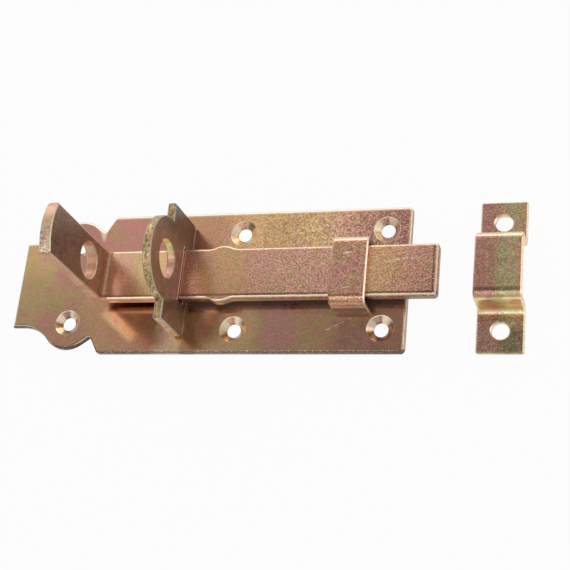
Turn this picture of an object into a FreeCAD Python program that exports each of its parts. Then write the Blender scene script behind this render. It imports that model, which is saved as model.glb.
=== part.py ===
import FreeCAD, Part
import math
import os
import re

import Sketcher

# A surface padlock bolt in zinc plated steel: base plate, padlock ear, guide loop, sliding bolt
# and a separate keeper. Millimetres. The origin is the middle of the base plate's back face,
# X runs towards the end that the bolt shoots from and Z points away from the door.

SIZES = [
    ("plate_length", 140.0, "base plate, end to end"),
    ("plate_width", 51.0, "base plate across its straight part"),
    ("plate_thick", 2.0, "sheet thickness of the base plate"),
    ("plate_edge_round", 1.0, "die roll round the plate's front edge"),
    ("plate_corner_round", 1.5, "plan radius of the two square corners"),
    ("nose_width", 31.6, "width of the ornamental end at its tip"),
    ("nose_straight", 4.0, "straight run from the tip to the scoop"),
    ("lobe_radius", 9.35, "lobe, concentric with its screw hole"),
    ("lobe_hole_inset", 21.0, "tip to the pair of holes in the lobes"),
    ("lobe_hole_pitch", 29.1, "distance between the lobes' holes"),
    ("notch_inset", 30.0, "tip to the notch behind the lobes"),
    ("notch_width", 39.2, "width left between the two notches"),
    ("notch_round", 0.6, "radius in the bottom of a notch"),
    ("shoulder_inset", 33.4, "tip to the start of the full width"),
    ("shoulder_round", 1.6, "plan radius of the shoulder's corner"),
    ("screw_hole", 4.8, "screw hole diameter"),
    ("countersink", 9.2, "countersink diameter at the face"),
    ("countersink_angle", 105.0, "countersink included angle, degrees"),
    ("row_inset", 8.2, "square end to the nearest pair of holes"),
    ("row_pitch", 50.0, "along the plate between the two pairs"),
    ("row_width", 34.8, "across the plate between a pair's holes"),
    ("ear_thick", 3.0, "sheet thickness of the padlock ear"),
    ("ear_inset", 62.6, "tip of the plate to the middle of the ear"),
    ("ear_width", 40.8, "ear across its shoulders"),
    ("ear_foot_round", 2.0, "radius of the ear's lower corners"),
    ("ear_shoulder", 19.0, "shoulder height over the plate"),
    ("ear_head_radius", 14.0, "round head of the ear"),
    ("ear_edge_break", 0.35, "broken edges of the ear and its openings"),
    ("ear_tenon_width", 6.0, "each of the ear's two tenons"),
    ("ear_tenon_pitch", 22.0, "middle to middle of the ear's tenons"),
    ("padlock_height", 20.2, "padlock holes' centres over the plate"),
    ("ear_hole", 13.0, "padlock hole diameter in the ear"),
    ("tail_hole", 12.2, "padlock hole diameter in the tail"),
    ("tail_gap", 25.1, "ear's back to the tail's inner face at rest"),
    ("bolt_overhang", 10.8, "tip past the plate's square end at rest"),
    ("bolt_width", 18.0, "flat bar width"),
    ("bolt_thick", 4.0, "flat bar thickness"),
    ("bolt_lift", 3.0, "space between the bar and the plate"),
    ("bolt_edge_round", 1.1, "rounded edges of the bar"),
    ("bolt_tip_round", 1.2, "plan radius of the tip's corners"),
    ("bend_radius", 1.3, "inside radius of the tail's bend"),
    ("tail_height", 45.2, "bar's underside to the tail's crown"),
    ("tail_end_radius", 18.5, "arched end of the tail"),
    ("tail_edge_break", 0.35, "broken edge of the tail's end and hole"),
    ("stop_gap", 8.2, "ear's front to the stop swell at rest"),
    ("stop_length", 11.4, "stop swell along the bar"),
    ("stop_swell", 1.2, "how far the swell stands out of the bar's side"),
    ("guide_side_play", 0.35, "bar to the side of the ear's window"),
    ("guide_under_play", 0.1, "bar to the window's sill"),
    ("guide_over_play", 0.2, "bar to the window's lintel"),
    ("loop_inset", 18.0, "square end to the middle of the loop"),
    ("loop_strip", 12.0, "strip width of the guide loop"),
    ("loop_thick", 1.8, "strip thickness of the guide loop"),
    ("loop_side_play", 1.2, "bar to the loop's leg"),
    ("loop_over_play", 0.2, "bar to the loop's roof"),
    ("loop_bend", 1.3, "inside radius of the loop's bends"),
    ("loop_edge_break", 0.45, "broken edges of the loop's strip"),
    ("loop_tenon_width", 8.0, "each of the loop's two tenons"),
    ("rivet_flare", 0.6, "spread of a tenon's peened end"),
    ("rivet_play", 0.05, "tenon to the side of its slot"),
    ("keeper_gap", 22.5, "square end of the plate to the keeper"),
    ("keeper_strip", 15.0, "strip width of the keeper"),
    ("keeper_thick", 2.0, "strip thickness of the keeper"),
    ("keeper_foot", 14.25, "leg's outer face to the toe"),
    ("keeper_side_play", 0.5, "bar to the keeper's leg"),
    ("keeper_over_play", 1.4, "bar to the keeper's roof"),
    ("keeper_bend", 1.0, "inside radius under the keeper's roof"),
    ("keeper_foot_bend", 1.75, "radius between a leg and its foot"),
    ("keeper_edge_break", 0.45, "broken edges of the keeper's strip"),
    ("keeper_corner_round", 0.8, "plan radius of the feet's corners"),
    ("keeper_hole", 5.7, "keeper screw hole diameter"),
    ("keeper_hole_inset", 7.35, "toe to the screw hole's middle"),
]

# Lengths that follow from the sizes, each under a name that a formula can use as well.

DERIVED = {
    "ear_back": "ear_inset - ear_thick / 2",
    "tenon_inner": "(ear_tenon_pitch - ear_tenon_width) / 2",
    "tenon_outer": "(ear_tenon_pitch + ear_tenon_width) / 2",
    "bolt_length": "plate_length + bolt_overhang - ear_back + tail_gap + bolt_thick",
    "stop_inset": "bolt_thick + tail_gap + ear_thick + stop_gap + stop_length / 2",
    "stop_reach": "bolt_width / 2 + stop_swell",
    "stop_curve": "(pow(stop_length / 4; 2) + pow(stop_swell / 2; 2)) / stop_swell",
    "loop_middle": "plate_length - loop_inset",
    "leg_inner": "bolt_width / 2 + loop_side_play",
    "leg_outer": "leg_inner + loop_thick",
    "loop_leg": "leg_inner + loop_thick / 2",
    "loop_roof": "bolt_lift + bolt_thick + loop_over_play + loop_thick / 2",
    "loop_turn": "loop_bend + loop_thick / 2",
    "keeper_leg": "bolt_width / 2 + keeper_side_play + keeper_thick / 2",
    "keeper_roof": "plate_thick + bolt_lift + bolt_thick + keeper_over_play + keeper_thick / 2",
    "keeper_turn": "keeper_bend + keeper_thick / 2",
    "ankle_turn": "keeper_foot_bend + keeper_thick / 2",
    "keeper_toe": "keeper_leg + keeper_thick / 2 + keeper_foot",
}

SIDES = (1, -1)
ROOT_POINT = (-1, 1)
# A sketch numbers an edge's points, and its own axes backwards, by their places in these.
POINTS = ("whole", "start", "end", "centre")
AXES = ("none", "DistanceY", "DistanceX")
ON_AXIS = "0"
NEAR = 1e-3
HALF_CORNER = 1 - math.sqrt(0.5)

doc = FreeCAD.newDocument("padlock_bolt")


def make_sheet():
    """Keeps the driving sizes in a spreadsheet, one named cell each."""
    sheet = doc.addObject("Spreadsheet::Sheet", "Sizes")
    for row, (alias, value, note) in enumerate(SIZES, 1):
        sheet.set(f"A{row}", alias)
        sheet.set(f"B{row}", str(value))
        sheet.setAlias(f"B{row}", alias)
        sheet.set(f"C{row}", note)
    doc.recompute()
    return sheet


sheet = make_sheet()
ALIASES = {alias for alias, value, note in SIZES}


def spell(formula):
    """Writes a formula's names as the sheet's cells."""
    def cell(match):
        word = match.group()
        if word in DERIVED:
            return f"({spell(DERIVED[word])})"
        return f"Sizes.{word}" if word in ALIASES else word
    return re.sub("[a-z_]+", cell, formula)


def size(formula):
    """The number that a formula gives now, to draw with."""
    return float(sheet.evalExpression(spell(formula)))


def bind(target, path, formula):
    """Ties a property to the sheet."""
    target.setExpression(path, spell(formula))


def make_body(label, across=None, up=None):
    """Starts a sub-part and ties its placement."""
    body = doc.addObject("PartDesign::Body", label)
    body.Label = label
    if across:
        bind(body, "Placement.Base.x", across)
    if up:
        bind(body, "Placement.Base.z", up)
    return body


class Profile:
    """A dimensioned sketch on one of a body's own origin planes."""

    def __init__(self, body, plane, name, offset=None):
        self.sketch = body.newObject("Sketcher::SketchObject", name)
        for feature in body.Origin.OriginFeatures:
            if feature.Role == plane:
                self.sketch.AttachmentSupport = [(feature, "")]
        self.sketch.MapMode = "FlatFace"
        if offset:
            bind(self.sketch, "AttachmentOffset.Base.z", offset)

    def line(self, start, end):
        edge = Part.LineSegment(FreeCAD.Vector(*start), FreeCAD.Vector(*end))
        return self.sketch.addGeometry(edge)

    def arc(self, start, middle, end):
        points = [FreeCAD.Vector(*point) for point in (start, middle, end)]
        return self.sketch.addGeometry(Part.Arc(*points))

    def rule(self, kind, *arguments):
        return self.sketch.addConstraint(Sketcher.Constraint(kind, *arguments))

    def end_near(self, edge, spot):
        """Says which end of an edge lies at a point."""
        ends = (POINTS.index("start"), POINTS.index("end"))
        gaps = [(self.sketch.getPoint(edge, end) - FreeCAD.Vector(*spot)).Length for end in ends]
        return ends[gaps.index(min(gaps))]

    def link(self, first, second, spot, smooth=False):
        """Joins two edges at the ends that meet at a point."""
        kind = "Tangent" if smooth else "Coincident"
        self.rule(kind, first, self.end_near(first, spot), second, self.end_near(second, spot))

    def measure(self, kind, edge, end, formula):
        """Dimensions a point from one of the sketch's axes, or puts it on that axis."""
        if formula == ON_AXIS:
            self.rule("PointOnObject", edge, POINTS.index(end), -AXES.index(kind))
            return
        drawn = size(formula)
        target = (edge, POINTS.index(end))
        ends = target + ROOT_POINT if drawn < 0 else ROOT_POINT + target
        index = self.rule(kind, *ends, abs(drawn))
        bind(self.sketch, f"Constraints[{index}]", f"abs({formula})")

    def hold(self, edge, end, across=None, up=None):
        """Fixes a point by its distances from the two axes."""
        if across:
            self.measure("DistanceX", edge, end, across)
        if up:
            self.measure("DistanceY", edge, end, up)

    def radius(self, edge, formula):
        index = self.rule("Radius", edge, self.sketch.Geometry[edge].Radius)
        bind(self.sketch, f"Constraints[{index}]", formula)

    def circle(self, across, up, diameter):
        centre = FreeCAD.Vector(size(across), size(up), 0)
        shape = Part.Circle(centre, FreeCAD.Vector(0, 0, 1), size(diameter) / 2)
        edge = self.sketch.addGeometry(shape)
        index = self.rule("Diameter", edge, size(diameter))
        bind(self.sketch, f"Constraints[{index}]", diameter)
        self.hold(edge, "centre", across, up)

    def box(self, left, right, low, high):
        """A rectangle, from the formulas of its four sides."""
        spots = [(size(x), size(y)) for x, y in
                 ((left, low), (right, low), (right, high), (left, high))]
        edges = [self.line(spots[turn], spots[(turn + 1) % 4]) for turn in range(4)]
        for turn in range(4):
            self.link(edges[turn - 1], edges[turn], spots[turn])
            self.rule("Horizontal" if turn % 2 == 0 else "Vertical", edges[turn])
        self.hold(edges[0], "start", left, low)
        self.hold(edges[2], "start", right, high)


def pad(body, profile, name, length, midplane=False, reverse=False):
    """Thickens a sketch."""
    feature = body.newObject("PartDesign::Pad", name)
    feature.Profile = profile.sketch
    feature.Midplane = midplane
    feature.Reversed = reverse
    bind(feature, "Length", length)
    doc.recompute()
    return feature


def pocket(body, profile, name, midplane=False, reverse=False):
    """Cuts a sketch right through the body and makes sure that something went."""
    before = body.Shape.Volume
    feature = body.newObject("PartDesign::Pocket", name)
    feature.Profile = profile.sketch
    feature.Type = "ThroughAll"
    feature.Midplane = midplane
    feature.Reversed = reverse
    doc.recompute()
    if body.Shape.Volume > before - NEAR:
        raise RuntimeError(f"{name} cuts nothing")
    return feature


def dress(body, kind, name, formula, wanted):
    """Rounds or breaks the edges that a test on their middle point and edge picks out."""
    base = body.Tip
    names = []
    for number, edge in enumerate(base.Shape.Edges, 1):
        middle = edge.valueAt((edge.FirstParameter + edge.LastParameter) / 2)
        if wanted(middle, edge):
            names.append(f"Edge{number}")
    if not names:
        raise RuntimeError(f"{name} finds no edge")
    feature = body.newObject(f"PartDesign::{kind}", name)
    feature.Base = (base, names)
    bind(feature, "Radius" if kind == "Fillet" else "Size", formula)
    doc.recompute()
    return feature


def flare(body, name, boxes):
    """The peened ends of tenons: each spreads to the plate's back face at 45 degrees."""
    profile = Profile(body, "XY_Plane", f"{name}Outline", "-plate_thick")
    for sides in boxes:
        profile.box(*sides)
    feature = pad(body, profile, name, "rivet_flare")
    feature.TaperAngle = -45
    doc.recompute()
    return feature


def sweep(body, path, section, name):
    """Sweeps a strip's section along its bent centre line."""
    feature = body.newObject("PartDesign::AdditivePipe", name)
    feature.Profile = section.sketch
    feature.Spine = path.sketch
    doc.recompute()
    return feature


def tall(edge):
    """True for an edge that runs straight up."""
    first, last = edge.Vertexes[0].Point, edge.Vertexes[-1].Point
    return math.hypot(first.x - last.x, first.y - last.y) < NEAR


def flat_at(edge, axis, value):
    """True for an edge that lies wholly in a plane square to an axis."""
    box = edge.BoundBox
    low, high = getattr(box, f"{axis}Min"), getattr(box, f"{axis}Max")
    return abs(low - value) < NEAR and abs(high - value) < NEAR


def on_faces(edge, half):
    """True for an edge in either of the two faces at half a thickness along X."""
    return flat_at(edge, "X", half) or flat_at(edge, "X", -half)


def draw_plate_outline(profile):
    """The plate's outline: square at one end, with a scoop, lobe and notch a side at the other."""
    end = size("plate_length")
    nose = size("nose_width / 2")
    scoop_start = size("nose_straight")
    lobe = size("lobe_radius")
    hole = FreeCAD.Vector(size("lobe_hole_inset"), size("lobe_hole_pitch / 2"), 0)
    notch = FreeCAD.Vector(size("notch_inset"), size("notch_width / 2"), 0)
    shoulder = FreeCAD.Vector(size("shoulder_inset"), size("plate_width / 2"), 0)
    run, rise = hole.x - scoop_start, nose - hole.y
    scoop = (run ** 2 + rise ** 2 - lobe ** 2) / (2 * (lobe - rise))
    scoop_centre = FreeCAD.Vector(scoop_start, nose + scoop, 0)
    meet = hole + (scoop_centre - hole).normalize() * lobe
    belly = (FreeCAD.Vector(scoop_start, nose, 0) + meet) / 2
    belly = scoop_centre + (belly - scoop_centre).normalize() * scoop
    reach = notch - hole
    leave_angle = math.atan2(reach.y, reach.x) + math.acos(lobe / reach.Length)
    leave = hole + FreeCAD.Vector(math.cos(leave_angle), math.sin(leave_angle), 0) * lobe
    ends = []
    for side, sign in zip(SIDES, ("", "-")):
        spots = [(0, nose), (scoop_start, nose), (meet.x, meet.y), (leave.x, leave.y),
                 (notch.x, notch.y), (shoulder.x, shoulder.y), (end, shoulder.y)]
        spots = [(x, side * y) for x, y in spots]
        edges = [
            profile.line(spots[0], spots[1]),
            profile.arc(spots[1], (belly.x, side * belly.y), spots[2]),
            profile.arc(spots[2], (hole.x, side * (hole.y + lobe)), spots[3]),
            profile.line(spots[3], spots[4]),
            profile.line(spots[4], spots[5]),
            profile.line(spots[5], spots[6]),
        ]
        for turn in range(1, 6):
            profile.link(edges[turn - 1], edges[turn], spots[turn], smooth=turn < 4)
        profile.rule("Horizontal", edges[0])
        profile.rule("Horizontal", edges[5])
        profile.hold(edges[0], "start", ON_AXIS, f"{sign}nose_width / 2")
        profile.hold(edges[0], "end", "nose_straight")
        profile.hold(edges[2], "centre", "lobe_hole_inset", f"{sign}lobe_hole_pitch / 2")
        profile.radius(edges[2], "lobe_radius")
        profile.hold(edges[4], "start", "notch_inset", f"{sign}notch_width / 2")
        profile.hold(edges[5], "start", "shoulder_inset", f"{sign}plate_width / 2")
        profile.hold(edges[5], "end", "plate_length")
        ends.append((edges[0], edges[5], spots[0], spots[6]))
    (upper_tip, upper_end, top_tip, top_end), (lower_tip, lower_end, low_tip, low_end) = ends
    tip_edge = profile.line(top_tip, low_tip)
    square_edge = profile.line(top_end, low_end)
    profile.link(upper_tip, tip_edge, top_tip)
    profile.link(lower_tip, tip_edge, low_tip)
    profile.link(upper_end, square_edge, top_end)
    profile.link(lower_end, square_edge, low_end)


def draw_slots(profile):
    """The plate's four slots, each its tenon and the play round it."""
    ear_sides = ("ear_back - rivet_play", "ear_back + ear_thick + rivet_play")
    loop_sides = ("loop_middle - loop_tenon_width / 2 - rivet_play",
                  "loop_middle + loop_tenon_width / 2 + rivet_play")
    for sign in ("", "-"):
        profile.box(*ear_sides, f"{sign}(tenon_inner - rivet_play)",
                    f"{sign}(tenon_outer + rivet_play)")
        profile.box(*loop_sides, f"{sign}(leg_inner - rivet_play)",
                    f"{sign}(leg_outer + rivet_play)")


def in_slot_rows(middle):
    """True near the ear's slots or the loop's slots, and clear of the plate's outline."""
    near_ear = abs(middle.x - size("ear_inset")) < size("ear_thick")
    near_loop = abs(middle.x - size("loop_middle")) < size("loop_tenon_width")
    reach = max(size("tenon_outer"), size("leg_outer")) + size("rivet_flare")
    return abs(middle.y) < reach and (near_ear or near_loop)


def drill(body, profile, name):
    """Countersunk holes right through the sheet."""
    before = body.Shape.Volume
    hole = body.newObject("PartDesign::Hole", name)
    hole.Profile = profile.sketch
    doc.recompute()
    hole.ThreadType = "None"
    hole.DepthType = "ThroughAll"
    hole.HoleCutType = "Countersink"
    hole.HoleCutCustomValues = True
    bind(hole, "Diameter", "screw_hole")
    bind(hole, "HoleCutDiameter", "countersink")
    bind(hole, "HoleCutCountersinkAngle", "countersink_angle")
    doc.recompute()
    if body.Shape.Volume > before - NEAR:
        raise RuntimeError(f"{name} drills nothing")
    return hole


def make_base_plate():
    """Blanked sheet with countersunk screw holes and four slots for the riveted tenons."""
    body = make_body("base_plate", "-plate_length / 2")
    outline = Profile(body, "XY_Plane", "PlateOutline")
    draw_plate_outline(outline)
    pad(body, outline, "PlateBlank", "plate_thick")

    def round_corners(name, formula, across, up):
        x, y = size(across), size(up)
        dress(body, "Fillet", name, formula,
              lambda middle, edge: tall(edge) and abs(middle.x - x) < NEAR
              and abs(abs(middle.y) - y) < NEAR)

    round_corners("SquareCorners", "plate_corner_round", "plate_length", "plate_width / 2")
    round_corners("ShoulderCorners", "shoulder_round", "shoulder_inset", "plate_width / 2")
    round_corners("NotchCorners", "notch_round", "notch_inset", "notch_width / 2")
    top = size("plate_thick")
    dress(body, "Fillet", "DieRoll", "plate_edge_round",
          lambda middle, edge: flat_at(edge, "Z", top))
    slots = Profile(body, "XY_Plane", "TenonSlots")
    draw_slots(slots)
    pocket(body, slots, "SlotCuts", reverse=True)
    dress(body, "Chamfer", "SlotFlares", "rivet_flare",
          lambda middle, edge: flat_at(edge, "Z", 0) and in_slot_rows(middle))
    holes = Profile(body, "XY_Plane", "ScrewHoles", "plate_thick")
    for sign in ("", "-"):
        row = f"{sign}row_width / 2"
        holes.circle("plate_length - row_inset", row, "screw_hole")
        holes.circle("plate_length - row_inset - row_pitch", row, "screw_hole")
        holes.circle("lobe_hole_inset", f"{sign}lobe_hole_pitch / 2", "screw_hole")
    doc.recompute()
    drill(body, holes, "Countersinks")
    return body


def draw_ear_outline(profile):
    """Foot with rounded corners, straight sides, square shoulders and a round head."""
    wide = size("ear_width / 2")
    foot = size("ear_foot_round")
    shoulder = size("ear_shoulder")
    head = size("ear_head_radius")
    high = size("padlock_height")
    bottom = profile.line((foot - wide, 0), (wide - foot, 0))
    crown = profile.arc((head, high), (0, high + head), (-head, high))
    profile.hold(bottom, "start", up=ON_AXIS)
    profile.rule("Horizontal", bottom)
    profile.hold(crown, "centre", ON_AXIS, "padlock_height")
    profile.radius(crown, "ear_head_radius")
    slant = foot * HALF_CORNER
    for side, sign in zip(SIDES, ("", "-")):
        spots = [(side * (wide - foot), 0), (side * wide, foot), (side * wide, shoulder),
                 (side * head, shoulder), (side * head, high)]
        corner = profile.arc(spots[0], (side * (wide - slant), slant), spots[1])
        flank = profile.line(spots[1], spots[2])
        ledge = profile.line(spots[2], spots[3])
        neck = profile.line(spots[3], spots[4])
        profile.link(bottom, corner, spots[0], smooth=True)
        profile.link(corner, flank, spots[1], smooth=True)
        profile.link(flank, ledge, spots[2])
        profile.link(ledge, neck, spots[3])
        profile.link(neck, crown, spots[4], smooth=True)
        profile.rule("Vertical", flank)
        profile.rule("Horizontal", ledge)
        profile.rule("Vertical", neck)
        profile.radius(corner, "ear_foot_round")
        profile.hold(flank, "end", f"{sign}ear_width / 2", "ear_shoulder")


def make_padlock_ear():
    """Flat upright plate across the bolt, with a window to slide in and the padlock's hole."""
    body = make_body("padlock_ear", "ear_inset - plate_length / 2", "plate_thick")
    outline = Profile(body, "YZ_Plane", "EarOutline")
    draw_ear_outline(outline)
    pad(body, outline, "EarBlank", "ear_thick", midplane=True)
    window = Profile(body, "YZ_Plane", "BoltWindow")
    window.box("-(bolt_width / 2 + guide_side_play)", "bolt_width / 2 + guide_side_play",
               "bolt_lift - guide_under_play", "bolt_lift + bolt_thick + guide_over_play")
    pocket(body, window, "WindowCut", midplane=True)
    hole = Profile(body, "YZ_Plane", "PadlockHole")
    hole.circle(ON_AXIS, "padlock_height", "ear_hole")
    pocket(body, hole, "PadlockHoleCut", midplane=True)
    half = size("ear_thick / 2")
    dress(body, "Chamfer", "BrokenEdges", "ear_edge_break",
          lambda middle, edge: on_faces(edge, half) and middle.z > NEAR)
    tenons = Profile(body, "YZ_Plane", "EarTenons")
    heads = []
    for sign in ("", "-"):
        tenons.box(f"{sign}tenon_inner", f"{sign}tenon_outer", "-plate_thick", ON_AXIS)
        heads.append(("-(ear_thick / 2 + rivet_flare)", "ear_thick / 2 + rivet_flare",
                      f"{sign}(tenon_inner - rivet_flare)", f"{sign}(tenon_outer + rivet_flare)"))
    pad(body, tenons, "EarTenonPads", "ear_thick", midplane=True)
    flare(body, "EarRivetHeads", heads)
    return body


def draw_loop_path(profile):
    """Centre line of the loop's strip: up one leg, over the bar and down the other."""
    leg, roof, bend = size("loop_leg"), size("loop_roof"), size("loop_turn")
    top = profile.line((bend - leg, roof), (leg - bend, roof))
    profile.rule("Horizontal", top)
    profile.hold(top, "start", up="loop_roof")
    slant = bend * HALF_CORNER
    for side, sign in zip(SIDES, ("", "-")):
        foot, knee, turn = (side * leg, 0), (side * leg, roof - bend), (side * (leg - bend), roof)
        upright = profile.line(foot, knee)
        corner = profile.arc(knee, (side * (leg - slant), roof - slant), turn)
        profile.link(upright, corner, knee, smooth=True)
        profile.link(corner, top, turn, smooth=True)
        profile.rule("Vertical", upright)
        profile.hold(upright, "start", f"{sign}loop_leg", ON_AXIS)
        profile.radius(corner, "loop_turn")


def make_guide_loop():
    """Strap bent over the bar, its two legs riveted through the plate."""
    body = make_body("guide_loop", "plate_length / 2 - loop_inset", "plate_thick")
    path = Profile(body, "YZ_Plane", "LoopPath")
    draw_loop_path(path)
    section = Profile(body, "XY_Plane", "LoopSection")
    section.box("-loop_strip / 2", "loop_strip / 2", "leg_inner", "leg_outer")
    sweep(body, path, section, "LoopStrip")
    half = size("loop_strip / 2")
    dress(body, "Chamfer", "BrokenEdges", "loop_edge_break",
          lambda middle, edge: on_faces(edge, half) and middle.z > NEAR)
    tenons = Profile(body, "YZ_Plane", "LoopTenons")
    heads = []
    for sign in ("", "-"):
        tenons.box(f"{sign}leg_inner", f"{sign}leg_outer", "-plate_thick", ON_AXIS)
        heads.append(("-(loop_tenon_width / 2 + rivet_flare)", "loop_tenon_width / 2 + rivet_flare",
                      f"{sign}(leg_inner - rivet_flare)", f"{sign}(leg_outer + rivet_flare)"))
    pad(body, tenons, "LoopTenonPads", "loop_tenon_width", midplane=True)
    flare(body, "LoopRivetHeads", heads)
    return body


def draw_bolt_side(profile):
    """Side view of the bar with its tail bent up square, left long for the shear."""
    length, thick, inside = size("bolt_length"), size("bolt_thick"), size("bend_radius")
    tail = size("tail_height + bolt_thick")
    outside = inside + thick
    spots = [(outside, 0), (length, 0), (length, thick), (outside, thick),
             (thick, outside), (thick, tail), (0, tail), (0, outside)]
    bends = {3: thick + inside * HALF_CORNER, 7: outside * HALF_CORNER}
    edges = []
    for turn, start in enumerate(spots):
        finish = spots[(turn + 1) % len(spots)]
        if turn in bends:
            edges.append(profile.arc(start, (bends[turn], bends[turn]), finish))
        else:
            edges.append(profile.line(start, finish))
    for turn, spot in enumerate(spots):
        profile.link(edges[turn - 1], edges[turn], spot, smooth=turn in (0, 3, 4, 7))
    for turn in (0, 2, 5):
        profile.rule("Horizontal", edges[turn])
    for turn in (1, 4, 6):
        profile.rule("Vertical", edges[turn])
    profile.hold(edges[1], "start", up=ON_AXIS)
    profile.hold(edges[6], "end", ON_AXIS)
    profile.hold(edges[2], "start", "bolt_length", "bolt_thick")
    profile.hold(edges[5], "start", "bolt_thick", "tail_height + bolt_thick")
    profile.radius(edges[3], "bend_radius")
    profile.radius(edges[7], "bend_radius + bolt_thick")


def draw_bar_trim(profile):
    """What the press leaves outside the bar in plan: straight sides with the stop's swell."""
    length, wide, middle = size("bolt_length"), size("bolt_width / 2"), size("stop_inset")
    swell = size("stop_swell")
    quarter = size("stop_length / 4")
    curve = size("stop_curve")
    sag = curve - math.sqrt(curve ** 2 - (quarter / 2) ** 2)
    spare = size("bolt_width / 4")
    clear = size("stop_reach") + spare
    for side, sign in zip(SIDES, ("", "-")):
        spots = [(-spare, wide), (middle - 2 * quarter, wide), (middle - quarter, wide + swell / 2),
                 (middle + quarter, wide + swell / 2), (middle + 2 * quarter, wide),
                 (length + spare, wide), (length + spare, clear), (-spare, clear)]
        spots = [(x, side * y) for x, y in spots]
        edges = [
            profile.line(spots[0], spots[1]),
            profile.arc(spots[1], (middle - 1.5 * quarter, side * (wide + sag)), spots[2]),
            profile.arc(spots[2], (middle, side * (wide + swell)), spots[3]),
            profile.arc(spots[3], (middle + 1.5 * quarter, side * (wide + sag)), spots[4]),
            profile.line(spots[4], spots[5]),
            profile.line(spots[5], spots[6]),
            profile.line(spots[6], spots[7]),
            profile.line(spots[7], spots[0]),
        ]
        for turn, spot in enumerate(spots):
            profile.link(edges[turn - 1], edges[turn], spot, smooth=turn in (1, 2, 3, 4))
        for turn in (0, 4, 6):
            profile.rule("Horizontal", edges[turn])
        for turn in (5, 7):
            profile.rule("Vertical", edges[turn])
        profile.hold(edges[0], "start", "-bolt_width / 4", f"{sign}bolt_width / 2")
        profile.hold(edges[0], "end", "stop_inset - stop_length / 2")
        profile.hold(edges[4], "start", "stop_inset + stop_length / 2", f"{sign}bolt_width / 2")
        profile.hold(edges[5], "end", "bolt_length + bolt_width / 4",
                     f"{sign}(stop_reach + bolt_width / 4)")
        profile.rule("Equal", edges[1], edges[2])
        profile.rule("Equal", edges[2], edges[3])
        profile.radius(edges[2], "stop_curve")


def draw_tail_trim(profile):
    """What is sheared off over the tail's arched end."""
    arch, crown, wide = size("tail_end_radius"), size("tail_height"), size("stop_reach")
    low = crown - arch + math.sqrt(arch ** 2 - wide ** 2)
    high = crown + wide
    arc = profile.arc((wide, low), (0, crown), (-wide, low))
    spots = [(-wide, low), (-wide, high), (wide, high), (wide, low)]
    edges = [profile.line(spots[turn], spots[turn + 1]) for turn in range(3)]
    profile.link(arc, edges[0], spots[0])
    profile.link(edges[0], edges[1], spots[1])
    profile.link(edges[1], edges[2], spots[2])
    profile.link(edges[2], arc, spots[3])
    profile.rule("Vertical", edges[0])
    profile.rule("Horizontal", edges[1])
    profile.rule("Vertical", edges[2])
    profile.hold(arc, "centre", ON_AXIS, "tail_height - tail_end_radius")
    profile.radius(arc, "tail_end_radius")
    profile.hold(edges[1], "start", "-stop_reach", "tail_height + stop_reach")
    profile.hold(edges[1], "end", "stop_reach")


def make_bolt():
    """Flat bar with rounded edges, bent tail, padlock hole and the swell that stops it."""
    body = make_body("bolt", "plate_length / 2 + bolt_overhang - bolt_length",
                     "plate_thick + bolt_lift")
    side_view = Profile(body, "XZ_Plane", "BarSideView")
    draw_bolt_side(side_view)
    pad(body, side_view, "BentBar", "2 * stop_reach", midplane=True)
    plan = Profile(body, "XY_Plane", "BarPlan")
    draw_bar_trim(plan)
    pocket(body, plan, "BarTrim", reverse=True)
    arch = Profile(body, "YZ_Plane", "TailArch")
    draw_tail_trim(arch)
    pocket(body, arch, "TailTrim", reverse=True)
    length, thick = size("bolt_length"), size("bolt_thick")
    corner = size("bolt_thick + bend_radius")
    crown = size("tail_height")
    arch_foot = size("tail_height - tail_end_radius"
                     " + sqrt(pow(tail_end_radius; 2) - pow(bolt_width / 2; 2))")
    dress(body, "Fillet", "TipCorners", "bolt_tip_round",
          lambda middle, edge: tall(edge) and abs(middle.x - length) < NEAR)

    def is_long(middle, edge):
        along_bar = middle.z < NEAR or abs(middle.z - thick) < NEAR
        along_tail = abs(middle.x) < NEAR or abs(middle.x - thick) < NEAR
        in_bend = middle.x < corner and middle.z < corner
        beside = abs(middle.y) > NEAR or abs(middle.x - length) < NEAR
        return beside and middle.z < arch_foot - NEAR and (along_bar or along_tail or in_bend)

    dress(body, "Fillet", "BarEdges", "bolt_edge_round", is_long)
    dress(body, "Chamfer", "TailEndEdges", "tail_edge_break",
          lambda middle, edge: abs(middle.y) < NEAR and abs(middle.z - crown) < NEAR)
    hole = Profile(body, "YZ_Plane", "TailHole")
    hole.circle(ON_AXIS, "padlock_height - bolt_lift", "tail_hole")
    pocket(body, hole, "TailHoleCut", reverse=True)
    dress(body, "Chamfer", "TailHoleRims", "tail_edge_break",
          lambda middle, edge: len(edge.Vertexes) == 1
          and (flat_at(edge, "X", 0) or flat_at(edge, "X", thick)))
    return body


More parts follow.
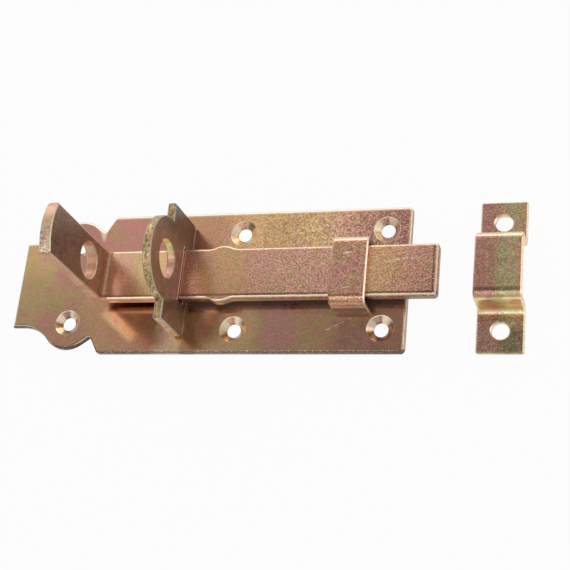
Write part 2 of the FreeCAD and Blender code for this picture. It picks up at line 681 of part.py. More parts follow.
def draw_keeper_path(profile):
    """Centre line of the keeper's strip: a flat roof, two legs and two feet."""
    leg, roof, bend = size("keeper_leg"), size("keeper_roof"), size("keeper_turn")
    sole, ankle, toe = size("keeper_thick / 2"), size("ankle_turn"), size("keeper_toe")
    top = profile.line((bend - leg, roof), (leg - bend, roof))
    profile.rule("Horizontal", top)
    profile.hold(top, "start", up="keeper_roof")
    in_bend, in_ankle = bend * HALF_CORNER, ankle * HALF_CORNER
    for side, sign in zip(SIDES, ("", "-")):
        spots = [(leg - bend, roof), (leg, roof - bend), (leg, sole + ankle),
                 (leg + ankle, sole), (toe, sole)]
        spots = [(side * y, z) for y, z in spots]
        edges = [
            profile.arc(spots[0], (side * (leg - in_bend), roof - in_bend), spots[1]),
            profile.line(spots[1], spots[2]),
            profile.arc(spots[2], (side * (leg + in_ankle), sole + in_ankle), spots[3]),
            profile.line(spots[3], spots[4]),
        ]
        for before, after, spot in zip([top] + edges, edges, spots):
            profile.link(before, after, spot, smooth=True)
        profile.rule("Vertical", edges[1])
        profile.rule("Horizontal", edges[3])
        profile.hold(edges[1], "start", f"{sign}keeper_leg")
        profile.hold(edges[3], "end", f"{sign}keeper_toe", "keeper_thick / 2")
        profile.radius(edges[0], "keeper_turn")
        profile.radius(edges[2], "ankle_turn")


def make_keeper():
    """Hat-shaped strap that takes the bolt's tip, with a plain screw hole in each foot."""
    body = make_body("keeper", "plate_length / 2 + keeper_gap + keeper_strip / 2")
    path = Profile(body, "YZ_Plane", "KeeperPath")
    draw_keeper_path(path)
    section = Profile(body, "XZ_Plane", "KeeperSection", "-keeper_toe")
    section.box("-keeper_strip / 2", "keeper_strip / 2", ON_AXIS, "keeper_thick")
    sweep(body, path, section, "KeeperStrip")
    toe, half, thick = size("keeper_toe"), size("keeper_strip / 2"), size("keeper_thick")
    dress(body, "Fillet", "FootCorners", "keeper_corner_round",
          lambda middle, edge: tall(edge) and abs(abs(middle.y) - toe) < NEAR)
    dress(body, "Chamfer", "BrokenEdges", "keeper_edge_break",
          lambda middle, edge: not tall(edge) and on_faces(edge, half))
    holes = Profile(body, "XY_Plane", "KeeperHoles")
    for sign in ("", "-"):
        holes.circle(ON_AXIS, f"{sign}(keeper_toe - keeper_hole_inset)", "keeper_hole")
    pocket(body, holes, "KeeperHoleCuts", reverse=True)
    dress(body, "Chamfer", "KeeperHoleRims", "keeper_edge_break",
          lambda middle, edge: len(edge.Vertexes) == 1 and flat_at(edge, "Z", thick))
    return body


def check_and_write(bodies):
    """Stops on any failed feature or bad solid, then writes each sub-part."""
    doc.recompute()
    for item in doc.Objects:
        if "Invalid" in item.State or "Error" in item.State:
            raise RuntimeError(f"{item.Label} failed: {item.State}")
    for body in bodies:
        if body.Shape.isNull() or not body.Shape.isValid() or len(body.Shape.Solids) != 1:
            raise RuntimeError(f"{body.Label} is not one valid solid")
    os.makedirs("parts", exist_ok=True)
    for body in bodies:
        body.Shape.exportStep(f"parts/{body.Label}.step")
        print(f"{body.Label}: {body.Shape.Volume:.1f} cubic mm")


check_and_write([make_base_plate(), make_padlock_ear(), make_guide_loop(), make_bolt(), make_keeper()])
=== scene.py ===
import math

import bmesh
import bpy
from mathutils import Matrix, Vector

MM = 0.001

# The camera, in millimetres and pixels
PICTURE_PIXELS = 570.0
LENS_PIXELS = 1283.3
FILM_WIDTH = 36.0
CAMERA_SPOT = (154.81, -157.03, 377.02)
CAMERA_TARGET = (28.44, -1.86, 2.0)
CAMERA_TOP = (0.01641, 0.92584, 0.37755)

# The room: sizes in metres, angles in degrees
FLOOR_REACH = 3.0
FLOOR_DROP = 0.2 * MM
FLOOR_GLOW = 0.95
DIM_ROOM = 0.5
CEILING_CENTRE = (-0.10, 0.20, 0.975)
CEILING_CORE = 9.0
CEILING_EDGE = 28.0
WHITE = (1.0, 1.0, 1.0, 1.0)
PAPER = (0.9, 0.9, 0.9, 1.0)
CEILING_GREY = (0.4, 0.4, 0.4, 1.0)

# Each lamp's name, spot, width and height in metres, and power in watts
LAMPS = (
    ("window behind", (-0.25, 1.0, 0.45), 1.8, 0.5, 3.2),
    ("window right", (1.1, 0.2, 0.35), 0.9, 0.5, 1.7),
    ("softbox", (-0.33, -0.42, 0.97), 0.35, 0.35, 0.5))

# Places on the pieces, in millimetres
LOBE_HOLE = (-49.0, 14.55)
PADLOCK_HOLE_HEIGHT = 22.2
# The middle of the painted golden reflection on the plate
PAINTED_GLEAM_MIDDLE = (-29.4, -15.4)

# How wide the film's patches and the zinc's grains are, and how deep the grain, in millimetres
DRIFT = 5.0
BLOTCH = 1.7
CRYSTAL = 0.6
FLECK = 0.45
GRAIN_DEPTH = 0.08

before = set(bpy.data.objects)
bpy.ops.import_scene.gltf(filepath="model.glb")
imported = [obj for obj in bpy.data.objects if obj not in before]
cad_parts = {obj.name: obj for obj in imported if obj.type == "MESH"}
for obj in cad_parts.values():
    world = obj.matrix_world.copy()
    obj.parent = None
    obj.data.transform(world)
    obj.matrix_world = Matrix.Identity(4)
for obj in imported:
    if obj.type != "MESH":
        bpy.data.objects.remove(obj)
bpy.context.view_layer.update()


# Shader maths

def from_screen(red, green, blue):
    """A colour given in screen values from 0 to 255, as the linear one that a shader takes."""
    def linear(value):
        value = value / 255.0
        if value <= 0.04045:
            return value / 12.92
        return ((value + 0.055) / 1.055) ** 2.4
    return (linear(red), linear(green), linear(blue), 1.0)


class Wire:
    """A socket of a node, with the sums that can be done on what it carries."""

    def __init__(self, finish, socket):
        self.finish = finish
        self.socket = socket

    def sum(self, operation, first, second=0.0):
        return self.finish.node("Math", {"operation": operation}, {0: first, 1: second})

    def __add__(self, other):
        return self.sum("ADD", self, other)

    def __radd__(self, other):
        return self.sum("ADD", other, self)

    def __sub__(self, other):
        return self.sum("SUBTRACT", self, other)

    def __rsub__(self, other):
        return self.sum("SUBTRACT", other, self)

    def __mul__(self, other):
        return self.sum("MULTIPLY", self, other)

    def __rmul__(self, other):
        return self.sum("MULTIPLY", other, self)

    def __abs__(self):
        return self.sum("ABSOLUTE", self)

    def above(self, start, end):
        """0 below start, 1 past end, and a soft step between them."""
        return self.finish.node(
            "MapRange", {"interpolation_type": "SMOOTHSTEP"},
            {"Value": self, "From Min": start, "From Max": end})

    def below(self, start, end):
        """1 below start, 0 past end, and a soft step between them."""
        return 1.0 - self.above(start, end)

    def within(self, low, high, soft):
        """1 between low and high, falling to 0 over a soft edge outside them."""
        return self.above(low - soft, low) * self.below(high, high + soft)


class Finish:
    """The nodes of one material, or of the world."""

    def __init__(self, name, owner=None):
        self.owner = owner or bpy.data.materials.new(name)
        self.owner.use_nodes = True
        self.tree = self.owner.node_tree
        self.tree.nodes.clear()

    def node(self, kind, settings=None, values=None, output=0):
        """Adds a node with its settings, then the values or wires of its sockets."""
        made = self.tree.nodes.new("ShaderNode" + kind)
        for name, setting in (settings or {}).items():
            setattr(made, name, setting)
        for name, value in (values or {}).items():
            if isinstance(value, Wire):
                self.tree.links.new(value.socket, made.inputs[name])
            else:
                made.inputs[name].default_value = value
        return Wire(self, made.outputs[output]) if made.outputs else None

    def blend(self, factor, first, second):
        return self.node("Mix", {"data_type": "RGBA"}, {0: factor, 6: first, 7: second}, output=2)

    def brighten(self, colour, amount):
        return self.node("VectorMath", {"operation": "SCALE"}, {0: colour, "Scale": amount})

    def place(self):
        """The point on the object in millimetres, and its three parts."""
        metres = self.node("TexCoord", output="Object")
        point = self.node("VectorMath", {"operation": "SCALE"}, {0: metres, "Scale": 1 / MM})
        return point, *self.parts(point)

    def facing(self):
        """The three parts of the surface's own direction."""
        return self.parts(self.node("TexCoord", output="Normal"))

    def parts(self, vector):
        return [self.node("SeparateXYZ", None, {0: vector}, output=axis) for axis in range(3)]

    def slant(self, first, second):
        """The length of a slant, from its two legs."""
        return self.node("Math", {"operation": "SQRT"}, {0: first * first + second * second})

    def shift(self, point, reach):
        """The point moved along, so that a second noise doesn't repeat the first."""
        return self.node("VectorMath", {"operation": "ADD"}, {0: point, 1: (reach, reach, 0.0)})

    def stretch(self, point, turn, long, wide):
        """The point turned in the sheet's plane and drawn out, for marks that run one way."""
        return self.node("Mapping", {"vector_type": "TEXTURE"}, {
            "Vector": point, "Rotation": (0.0, 0.0, math.radians(turn)),
            "Scale": (long, wide, wide)})

    def grain(self, point, size, detail=2.0, rough=0.5):
        """Soft noise about 0.5, whose lumps are about size millimetres across."""
        return self.node("TexNoise", None, {
            "Vector": point, "Scale": 1.0 / size, "Detail": detail, "Roughness": rough})


# The yellow chromate film on zinc, in the colours that it takes from thin to thick

PLUM = from_screen(150, 112, 112)
ROSE = from_screen(204, 144, 132)
COPPER = from_screen(200, 148, 118)
GOLD = from_screen(220, 176, 126)
OLIVE = from_screen(196, 168, 118)
GREEN = from_screen(168, 164, 118)

# Its colours in single places on the plate, the ear, the loop, the bolt and the keeper; several
# of them are the colours of painted light and shade

MAUVE = from_screen(206, 154, 146)
SHADE = from_screen(192, 160, 142)
SAND = from_screen(208, 178, 150)
ASH = from_screen(186, 168, 158)
UMBER = from_screen(152, 116, 92)
MOSS = from_screen(104, 98, 78)
STRAW = from_screen(226, 214, 150)
SAGE = from_screen(142, 140, 112)
BLUSH = from_screen(214, 190, 180)
PEACH = from_screen(206, 160, 136)
SALMON = from_screen(206, 158, 142)
PUTTY = from_screen(196, 176, 164)
APRICOT = from_screen(222, 184, 154)
IVORY = from_screen(244, 224, 200)
TAN = from_screen(180, 132, 104)
WALNUT = from_screen(158, 124, 102)
FAWN = from_screen(190, 160, 134)
STONE = from_screen(186, 178, 152)
SOOT = from_screen(70, 60, 50)
DUSK = from_screen(168, 134, 122)
FERN = from_screen(178, 180, 130)
WHEAT = from_screen(220, 206, 152)
PEARL = from_screen(204, 200, 188)
BUTTER = from_screen(238, 212, 170)

# The metal where it is rubbed, scratched, and sheared; cream and chalk also make painted
# highlights

CREAM = from_screen(240, 222, 194)
STEEL = from_screen(240, 224, 200)
CHALK = from_screen(228, 214, 190)


def tinted(finish, colour, *layers):
    """Lays film colours over each other, each with the mask that says where."""
    for mask, film in layers:
        colour = finish.blend(mask, colour, film)
    return colour


def chromate(finish, point, colour, light, crystals, polish, rubbed_rims_and_highlights=0.0, burrs_and_highlight_stripes=0.0, marks=0.0,
             dull=0.0):
    """Sets the film over the whole piece. Light is painted light and shade that brightens and
    darkens it, crystals says how strongly the zinc's fine grain shows, polish how soft its mirror
    is, rubbed_rims_and_highlights where it is rubbed bright and where a highlight is painted,
    burrs_and_highlight_stripes where a sheared edge is dull and pale and where pale highlight
    stripes are painted, marks where it is scratched, and dull where a thick film hides the metal."""
    drift = finish.grain(point, DRIFT, 3.0, 0.6)
    fine = finish.grain(point, CRYSTAL, 4.0, 0.75)
    fleck = finish.grain(point, FLECK, 1.0)
    blotch = finish.grain(point, BLOTCH, 2.0, 0.6) - 0.5
    glint = fine.above(0.4, 0.7)
    colour = tinted(
        finish, colour,
        (drift.above(0.5, 0.62) * 0.45, ROSE),
        (drift.above(0.6, 0.7) * 0.3, PLUM),
        (drift.below(0.36, 0.48) * 0.45, OLIVE),
        (glint * crystals * 0.4, GOLD),
        (fine.below(0.36, 0.46) * crystals * 0.3, PLUM))
    shade = light * (0.96 - crystals * 0.42 + glint * (0.1 + crystals * 1.15))
    shade = shade * (1.0 + (drift - 0.5) * 0.3 + blotch * crystals * 0.9)
    colour = tinted(
        finish, finish.brighten(colour, shade),
        (fleck.above(0.6, 0.68) * crystals, CREAM),
        (rubbed_rims_and_highlights, CREAM),
        (burrs_and_highlight_stripes, CHALK),
        (marks, STEEL))
    height = fine * crystals + fleck * crystals * 0.6 - marks * 0.3
    bump = finish.node("Bump", None, {
        "Height": height, "Strength": 0.6, "Distance": GRAIN_DEPTH * MM})
    shader = finish.node("BsdfPrincipled", None, {
        "Base Color": colour, "Metallic": 1.0 - burrs_and_highlight_stripes * 0.6 - dull * 0.5,
        "Roughness": polish + crystals * 0.18 + (fine - 0.5) * 0.12, "Normal": bump})
    finish.node("OutputMaterial", None, {"Surface": shader})
    return finish.owner


def wander(finish, point, size, reach):
    """Wavers a distance, so that no border on the film runs straight."""
    return (finish.grain(point, size, 3.0, 0.6) - 0.5) * (2.0 * reach)


def rim_of(flat):
    """Where a flat face starts to turn over into its edge."""
    return flat.above(0.56, 0.7) * flat.below(0.93, 0.98)


def scuffs(finish, point, turn, size, share):
    """Thin pale scratches that run one way, in patches."""
    lines = finish.grain(finish.stretch(point, turn, 6.0 * size, 0.16 * size), 1.0, 1.0)
    patch = finish.grain(point, 14.0, 1.0)
    return lines.above(0.68, 0.74) * patch.above(0.5, 0.62) * share


def scratch(finish, point, x, y, turn, length):
    """One pale scratch with a waver in it, from its middle, its direction and its length."""
    along, off = math.cos(math.radians(turn)), math.sin(math.radians(turn))
    east, north, _ = finish.parts(point)
    run = (east - x) * along + (north - y) * off
    side = (north - y) * along - (east - x) * off + wander(finish, point, 2.0, 0.4)
    fade = finish.grain(point, 1.2, 1.0).above(0.35, 0.5)
    return abs(side).below(0.1, 0.3) * abs(run).below(length * 0.35, length * 0.5) * fade


# The back plate

def rubbed_and_highlit_margin(finish, x, y, z):
    """The plate's upper edge where it is pale, partly rubbed and partly a painted highlight: the
    far side, the square end, the far scoop and shoulder, and the tip."""
    reach = finish.slant(x - LOBE_HOLE[0], abs(y) - LOBE_HOLE[1])
    margin = x.above(-37.0, -36.0) * y.above(23.9, 24.5) + x.above(68.7, 69.3) * 0.4
    margin = margin + x.below(-40.0, -39.0) * y.above(15.0, 18.0) * reach.above(8.2, 8.8)
    margin = margin + x.below(-69.4, -68.9)
    return margin * z.above(0.9, 1.1)


def countersinks(across, along, up, y):
    """The screw holes' cones and, by the way that a cone faces, its painted reflections: two
    glints, a darker rosy stripe between them and a golden sheen on its near left side."""
    cone = up.within(0.74, 0.84, 0.05) * y.above(-23.0, -22.0)
    painted_glints = (across * 0.91 - along * 0.42).above(0.52, 0.61)
    painted_glints = (painted_glints + (across * -0.5 - along * 0.87).above(0.52, 0.61)) * cone
    painted_rosy_streak = (across * 0.26 - along * 0.97).above(0.54, 0.6) * cone
    painted_golden_sheen = (across * 0.87 + along * 0.5).above(0.4, 0.5) * cone
    return cone, painted_glints, painted_rosy_streak, painted_golden_sheen


def painted_gold_reflection(x, y):
    """A painted reflection: the bar of golden light that lies aslant on the plate below the tail.
    """
    east, north = x - PAINTED_GLEAM_MIDDLE[0], y - PAINTED_GLEAM_MIDDLE[1]
    painted_gleam = abs(north * 0.77 + east * 0.64).below(1.0, 3.0)
    return painted_gleam * abs(east * 0.77 - north * 0.64).below(6.0, 9.5)


def plate_film(finish, x, y, far, near):
    """The plate's colours: olive at the tip with a rosy near lobe, then rose, gold and rose along
    the far side, and olive, mauve, olive and plum along the near one."""
    return tinted(
        finish, COPPER,
        (x.below(-52.0, -30.0), OLIVE),
        (x.within(-58.0, -46.0, 6.0) * y.below(-14.0, -6.0) * 0.8, ROSE),
        (x.within(-52.0, -18.0, 6.0) * far, ROSE),
        (x.within(12.0, 40.0, 10.0) * far, GOLD),
        (x.above(38.0, 52.0) * far, ROSE),
        (x.within(-8.0, 20.0, 6.0) * near * 0.7, OLIVE),
        (x.within(25.0, 33.0, 4.0) * near * 0.6, MAUVE),
        (x.within(36.0, 44.0, 5.0) * near * 0.6, OLIVE),
        (x.within(50.0, 60.0, 5.0) * near * 0.4, PLUM))


def plate_painted_light(x, y, far, near, wall):
    """Painted light and shade on the plate's film: dimmer towards its tip, its near side and its
    right end, and darker on its walls.
    """
    light = 1.02 - wall * 0.66 - x.below(-52.0, -30.0) * 0.2 - y.below(-18.0, 6.0) * 0.14
    light = light + x.below(-58.0, -50.0) * y.above(0.0, 10.0) * 0.2
    light = light + x.within(-8.0, 16.0, 8.0) * 0.2 + x.within(36.0, 50.0, 6.0) * far * 0.32
    light = light + x.within(16.0, 30.0, 6.0) * far * 0.14
    return light - x.above(56.0, 64.0) * (far * 0.2 + near * 0.1)


def plate_zinc():
    """The back plate: smooth at its tip, with more grain along its far right side."""
    finish = Finish("plate zinc")
    point, x, y, z = finish.place()
    across, along, up = finish.facing()
    wall = up.below(0.1, 0.5)
    near_wall = along.below(-0.3, -0.1)
    cone, painted_glints, painted_rosy_streak, painted_golden_sheen = countersinks(across, along, up, y)
    ring = z.below(0.6, 0.8) * cone
    # Painted shade: the rounded near edge of the plate greyer and darker
    painted_shade_lip = near_wall * up.above(0.2, 0.4) * (1.0 - cone)
    # Pale far margin, cone tops and cone glints: painted highlights, partly also rubbed
    rubbed_rims_and_highlights = rubbed_and_highlit_margin(finish, x, y, z) * (1.0 - near_wall) * 0.8
    rubbed_rims_and_highlights = rubbed_rims_and_highlights + (cone * (0.1 + z.above(1.7, 1.85) * 0.6) + painted_glints * 0.8)
    painted_gleam = painted_gold_reflection(x, y)

    x = x + wander(finish, point, 9.0, 7.0)
    y = y + wander(finish, finish.shift(point, 40.0), 7.0, 5.0)
    far = y.above(-4.0, 4.0)
    near = 1.0 - far
    # Painted shade under the bar, as a paler and less metallic film there; painted light on the
    # plate behind the ear, and a painted shadow before its foot
    painted_shade_under_bar = abs(y).below(9.0, 12.5) * x.above(-10.0, -5.0)
    painted_light_behind_ear = x.within(-15.0, -10.0, 3.0) * y.below(-14.0, -10.0)
    painted_shadow_before_ear = x.within(-6.0, -2.0, 2.0) * y.within(-26.0, -13.0, 2.0)
    colour = tinted(
        finish, plate_film(finish, x, y, far, near),
        (painted_shade_under_bar * 0.75, SHADE), (painted_light_behind_ear * 0.7, SAND), (painted_shade_lip * 0.7, ASH),
        (painted_gleam * 0.7, GOLD), (painted_rosy_streak * 0.8, ROSE), (painted_golden_sheen * 0.8, GOLD))
    grain = 0.06 + (x.above(-6.0, 10.0) * 0.35 + x.above(14.0, 32.0) * 0.45) * far
    grain = grain + near * 0.06 + painted_shade_lip * 0.3
    light = plate_painted_light(x, y, far, near, wall) + painted_light_behind_ear * 0.25 - painted_shadow_before_ear * 0.3
    light = (light + painted_gleam * 0.45) * (1.0 - painted_shade_lip * 0.55)
    # Painted reflections on the cones: two glints and a golden sheen lighter, a rosy stripe
    # darker, and painted shade deep in each cone
    light = light + painted_glints * 0.6 + painted_golden_sheen * 0.3 - painted_rosy_streak * 0.2 - ring * 0.35
    marks = scuffs(finish, point, 25.0, 1.0, 0.25)
    marks = marks + scratch(finish, point, 48.0, -15.8, 26.0, 11.0) * 0.55
    return chromate(finish, point, colour, light, grain, polish=0.17, rubbed_rims_and_highlights=rubbed_rims_and_highlights,
                    burrs_and_highlight_stripes=painted_glints * 0.3, marks=marks, dull=painted_shade_under_bar * 0.6)


# The padlock ear

def ear_zinc():
    """The padlock ear: brown faces, and a mottled cream-green edge where it was sheared."""
    finish = Finish("ear zinc")
    point, _, y, z = finish.place()
    across = finish.facing()[0]
    wall = abs(across).below(0.25, 0.6)
    face = 1.0 - wall
    bore = finish.slant(y, z - PADLOCK_HOLE_HEIGHT).below(7.4, 7.8)
    sheared = wall * (1.0 - bore)
    mottle = finish.grain(point, 1.3, 3.0, 0.75)
    colour = tinted(
        finish, UMBER,
        (wall, OLIVE),
        (sheared * mottle.above(0.5, 0.6) * 0.8, MOSS),
        (sheared * mottle.below(0.38, 0.46) * 0.8, CREAM),
        # Painted highlight: straw on the far half of the bore's wall
        (wall * bore * y.above(-3.0, 2.0), STRAW),
        (wall * bore * z.below(15.5, 18.0), ROSE))
    # Painted highlight stripes along the window's upper edge and along the ear's foot
    ear_painted_highlights = z.within(9.6, 10.0, 0.2) * abs(y).below(9.6, 9.9) + z.below(2.4, 2.7)
    burrs_and_highlight_stripes = abs(across).within(0.6, 0.85, 0.08) * (0.45 - bore * 0.35) + face * ear_painted_highlights * 0.8
    # Painted shade and light: the face darker on its far wing and low down, the walls and the
    # bore's wall lighter
    light = 0.7 - (y.above(6.0, 13.0) * 0.36 + z.below(2.0, 8.0) * 0.16) * face
    light = light + wall * (0.16 + bore * 0.2)
    return chromate(finish, point, colour, light, 0.1 + wall * 0.3, polish=0.32,
                    burrs_and_highlight_stripes=burrs_and_highlight_stripes, dull=face)


# The guide loop

def loop_zinc():
    """The guide loop: grainy copper and rose on top, brown legs, and edges rubbed pale, with
    painted highlights on its far curve and the legs' upper band, and painted shade lower on the
    legs.
    """
    finish = Finish("loop zinc")
    point, _, y, z = finish.place()
    across, along, up = finish.facing()
    leg = z.below(7.0, 9.0)
    # Painted shade: the legs a little darker, a darker band low on them and a painted dark stripe
    # just before the near curve; a painted highlight band on their upper part
    shank = z.below(5.5, 7.0) * z.above(3.0, 3.4)
    brow = z.within(6.6, 8.4, 0.8) * abs(along).above(0.6, 0.9)
    painted_dark_line = y.within(-9.6, -8.9, 0.2)
    painted_highlight_bend = along.within(0.35, 0.85, 0.15) * up.above(0.2, 0.4)
    colour = tinted(finish, COPPER, (leg, SAGE), (abs(y).below(2.0, 8.0), ROSE), (brow, BLUSH))
    light = 1.05 - leg * 0.1 - shank * 0.5 - painted_dark_line * 0.4
    # Rubbed strip edges, and a painted highlight on the far curve
    rubbed_rims_and_highlights = abs(across).within(0.55, 0.85, 0.1) * 0.8 + painted_highlight_bend * 0.7
    marks = scuffs(finish, point, 4.0, 0.8, 0.6) + scratch(finish, point, 52.0, 5.5, 8.0, 5.0)
    marks = marks + scratch(finish, point, 52.0, -6.5, 8.0, 4.0)
    return chromate(finish, point, colour, light, 0.6 - leg * 0.5, polish=0.2 + leg * 0.1,
                    rubbed_rims_and_highlights=rubbed_rims_and_highlights, marks=marks, dull=leg * 0.7)


# The bolt

def bar_film(finish, x, swell):
    """The bar's colours, from its tail end to its tip."""
    return tinted(
        finish, COPPER,
        (x.below(-12.0, -8.0), PEACH),
        (x.within(-22.0, -12.0, 6.0) * 0.8, OLIVE),
        (x.within(-6.0, 2.0, 5.0) * 0.6, ROSE),
        (swell * 0.5, GOLD),
        (x.within(22.0, 44.0, 8.0) * 0.6, SALMON),
        (x.within(56.0, 64.0, 7.0) * 0.7, GOLD),
        (x.above(64.0, 76.0) * 0.6, ROSE))


def torn_end(finish, colour, point, y, end_face):
    """The tail's sheared end: fawn, and torn ragged over its near half."""
    tear = finish.grain(finish.stretch(point, 0.0, 2.0, 0.8), 1.0, 3.0, 0.8)
    torn = end_face * (y + wander(finish, point, 3.0, 3.0)).below(-2.0, 1.0)
    return tinted(
        finish, colour,
        (end_face, FAWN),
        (torn, STONE),
        (torn * tear.below(0.4, 0.47), SOOT),
        (torn * tear.above(0.55, 0.65), CREAM))


def bolt_zinc():
    """The bolt: grainy rose and copper on the bar, smoother at the swell, and a brown tail."""
    finish = Finish("bolt zinc")
    point, x, y, z = finish.place()
    across, along, up = finish.facing()
    tail = z.above(10.5, 11.5)
    bar = 1.0 - tail
    wall = abs(along).above(0.6, 0.9)
    face = 1.0 - wall
    tail_face = tail * abs(across).above(0.7, 0.9)
    end_face = z.above(45.4, 46.2) * up.above(0.5, 0.8)
    tip = across.above(0.6, 0.9) * x.above(78.0, 79.0)
    # Painted shade in the inner corner where the tail rises from the bar, with a duller film
    painted_shade_nook = x.below(-32.4, -31.8)
    painted_dark_line = y.within(-8.0, -7.5, 0.2) + x.within(79.1, 79.5, 0.2) * y.above(-7.6, -7.4)

    x = x + wander(finish, point, 8.0, 5.0)
    swell = x.within(2.0, 14.0, 4.0)
    colour = tinted(
        finish, bar_film(finish, x, swell),
        # Painted shade: the bar's walls greyer
        (wall * bar * 0.7, PUTTY),
        (tail, COPPER),
        (tail * wall * z.below(24.0, 34.0), APRICOT),
        # Painted highlight on the walls where the tail curves up
        (wall * z.below(16.0, 20.0) * x.below(-33.0, -31.0), IVORY),
        (painted_shade_nook * bar * face, TAN),
        (tail_face, WALNUT))
    colour = torn_end(finish, colour, point, y, end_face)
    grain = 0.22 + x.above(-8.0, 0.0) * (1.0 - swell * 0.6) * 0.38 + x.above(24.0, 34.0) * 0.2
    # Painted light and shade: the bar lighter left of the ear; its tip face, walls, underside,
    # near half past the swell and a dark stripe along its near edge and across its tip darker;
    # the tail's walls and face darker, its face more so higher up; the end face lighter; darker
    # towards the tip
    light = 1.18 + bar * (x.below(-12.0, -6.0) * 0.25 + x.within(-19.0, -9.0, 3.0) * 0.2)
    light = light - tip * 0.5 - bar * (wall * 0.45 + painted_shade_nook * face * 0.25) + end_face * 0.5
    light = light - tail * wall * 0.2
    light = light - tail * face * (
        0.22 + z.above(18.0, 30.0) * 0.24 + z.above(35.0, 42.0) * 0.1)
    light = light - bar * z.below(5.8, 6.6) * 0.4
    light = light - bar * (y.below(-8.0, 3.0) * x.above(6.0, 12.0) * 0.14 + painted_dark_line * 0.6)
    light = light - x.above(70.0, 76.0) * 0.12
    # Rubbed edges and painted highlights along the bar's top edges and the tail's sides
    rubbed_rims_and_highlights = rim_of(up) * bar * (1.0 - painted_shade_nook) * 0.6 + tail * rim_of(abs(across)) * 0.5
    marks = scuffs(finish, point, 3.0, 1.0, 0.4) + scratch(finish, point, 70.5, 3.8, 4.0, 10.0)
    return chromate(finish, point, colour, light, grain,
                    polish=0.2 + tail * 0.16 + painted_shade_nook * bar * 0.2, rubbed_rims_and_highlights=rubbed_rims_and_highlights, marks=marks,
                    dull=tail_face * 0.6 + painted_shade_nook * bar * face * 0.8)


# The keeper

def keeper_zinc():
    """The keeper: rose at its left, olive at its right, and gold down its legs."""
    finish = Finish("keeper zinc")
    point, x, y, z = finish.place()
    across, along, up = finish.facing()
    # Rubbed strip edges, and a painted highlight on the far curve
    painted_highlight_bend = along.within(0.35, 0.85, 0.15) * z.above(10.5, 11.0)
    rubbed_rims_and_highlights = abs(across).within(0.55, 0.85, 0.1) * 0.5 + painted_highlight_bend * 0.6

    x = x + wander(finish, point, 6.0, 4.0)
    leg = abs(along).above(0.5, 0.9)
    # Painted highlight at the foot of each leg; painted shade in the near foot's crease, a
    # painted dark stripe at the roof's near edge and painted shade at the near right corner
    painted_highlight_ankle = abs(y).within(11.4, 13.0, 0.4) * z.within(2.2, 4.0, 0.5)
    painted_shade_fold = y.within(-15.2, -13.6, 0.6) * z.below(2.0, 3.0)
    painted_dark_line = up.above(0.5, 0.9) * z.above(9.0, 10.0) * y.within(-8.9, -8.0, 0.3)
    corner = y.below(-19.0, -16.0) * x.above(98.0, 102.0)
    edge = up.below(0.2, 0.5) * z.below(2.0, 2.3)
    colour = tinted(
        finish, ROSE,
        (y.below(-18.0, -14.0) * 0.5, DUSK),
        (x.above(95.0, 100.0) * 0.5, OLIVE),
        (x.within(100.5, 104.5, 1.5) * 0.7, FERN),
        (leg, WHEAT),
        (leg * x.within(98.0, 101.0, 2.5) * 0.7, GREEN),
        (edge, PEARL),
        (painted_highlight_ankle * 0.6, BUTTER))
    # Painted light and shade: the legs lighter, and lighter towards the right end
    light = 0.94 + leg * 0.22 + painted_highlight_ankle * 0.5 - painted_dark_line * 0.45 - corner * 0.3 - painted_shade_fold * 0.3
    light = light + x.above(99.0, 103.0) * (1.0 - corner) * 0.2
    return chromate(finish, point, colour, light, 0.45 - leg * 0.35, polish=0.18 + leg * 0.1,
                    rubbed_rims_and_highlights=rubbed_rims_and_highlights)


def finish_the_pieces():
    """Gives each piece of the frame its finish."""
    finishes = {
        "base_plate": plate_zinc, "padlock_ear": ear_zinc, "guide_loop": loop_zinc,
        "bolt": bolt_zinc, "keeper": keeper_zinc}
    for node, make in finishes.items():
        material = make()
        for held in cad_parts[node].material_slots:
            held.material = material


# The studio

def seen(finish):
    """1 for the camera and for what metal mirrors, 0 for light that only falls on things."""
    kinds = [finish.node("LightPath", output=name) for name in (
        "Is Camera Ray", "Is Glossy Ray", "Is Transmission Ray")]
    return finish.node("Math", {"operation": "MINIMUM"}, {
        0: kinds[0] + kinds[1] + kinds[2], 1: 1.0})


def lay_floor():
    """A plain white sheet under the object, which keeps a faint shadow."""
    mesh = bmesh.new()
    bmesh.ops.create_grid(mesh, x_segments=1, y_segments=1, size=FLOOR_REACH)
    bmesh.ops.translate(mesh, verts=mesh.verts, vec=(0.0, 0.0, -FLOOR_DROP))
    data = bpy.data.meshes.new("floor")
    mesh.to_mesh(data)
    mesh.free()
    floor = bpy.data.objects.new("floor", data)
    bpy.context.scene.collection.objects.link(floor)
    finish = Finish("white sheet")
    paper = finish.node("BsdfDiffuse", None, {"Color": PAPER})
    glow = finish.node("Emission", None, {"Color": WHITE, "Strength": 1.0})
    both = finish.node("MixShader", None, {0: seen(finish) * FLOOR_GLOW, 1: paper, 2: glow})
    finish.node("OutputMaterial", None, {"Surface": both})
    data.materials.append(finish.owner)


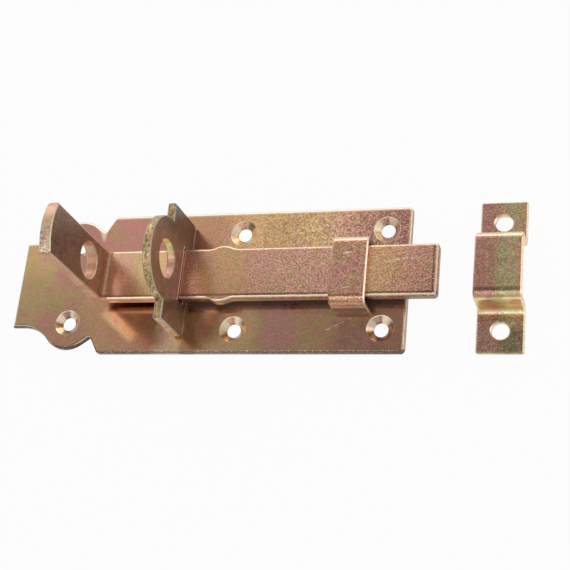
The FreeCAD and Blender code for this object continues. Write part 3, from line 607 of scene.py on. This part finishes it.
def light_the_room():
    """White all round to the eye. The metal mirrors a grey ceiling and a few grey things too."""
    world = bpy.data.worlds.new("white room")
    bpy.context.scene.world = world
    finish = Finish("white room", world)
    way = finish.node("TexCoord")
    toward = finish.node("VectorMath", {"operation": "DOT_PRODUCT"}, {
        0: way, 1: CEILING_CENTRE}, output=1)
    ceiling = toward.above(
        math.cos(math.radians(CEILING_EDGE)), math.cos(math.radians(CEILING_CORE)))
    height = finish.parts(way)[2]
    things = finish.node("TexNoise", None, {
        "Vector": way, "Scale": 1.7, "Detail": 0.0}).below(0.42, 0.54)
    dark = ceiling + (1.0 - ceiling) * things * height.below(0.55, 0.8)
    watched = finish.node("LightPath", output="Is Camera Ray")
    room = finish.blend(dark * (1.0 - watched), WHITE, CEILING_GREY)
    dim = finish.node("Background", None, {"Color": WHITE, "Strength": DIM_ROOM})
    bright = finish.node("Background", None, {"Color": room, "Strength": 1.0})
    both = finish.node("MixShader", None, {0: seen(finish), 1: dim, 2: bright})
    finish.node("OutputWorld", None, {"Surface": both})


def aim(thing, spot, target, top):
    """Puts a lamp or camera at the spot, looking at the target with its top towards top."""
    back = (spot - target).normalized()
    right = top.cross(back).normalized()
    turned = Matrix((right, back.cross(right), back)).transposed().to_4x4()
    thing.matrix_world = Matrix.Translation(spot) @ turned


def hang_lamps():
    """Soft rectangular lamps, all aimed at the middle of the plate."""
    for name, spot, width, height, power in LAMPS:
        lamp = bpy.data.lights.new(name, "AREA")
        lamp.shape = "RECTANGLE"
        lamp.size = width
        lamp.size_y = height
        lamp.energy = power
        thing = bpy.data.objects.new(name, lamp)
        bpy.context.scene.collection.objects.link(thing)
        aim(thing, Vector(spot), Vector((0.0, 0.0, 0.0)), Vector((0.0, 0.0, 1.0)))


def set_camera():
    """The camera as the photograph was taken: from above the near right corner."""
    data = bpy.data.cameras.new("camera")
    data.sensor_width = FILM_WIDTH
    data.lens = FILM_WIDTH * LENS_PIXELS / PICTURE_PIXELS
    camera = bpy.data.objects.new("camera", data)
    bpy.context.scene.collection.objects.link(camera)
    bpy.context.scene.camera = camera
    aim(camera, Vector(CAMERA_SPOT) * MM, Vector(CAMERA_TARGET) * MM, Vector(CAMERA_TOP))


set_camera()
light_the_room()
lay_floor()
hang_lamps()
finish_the_pieces()
bpy.context.scene.view_settings.view_transform = "Standard"
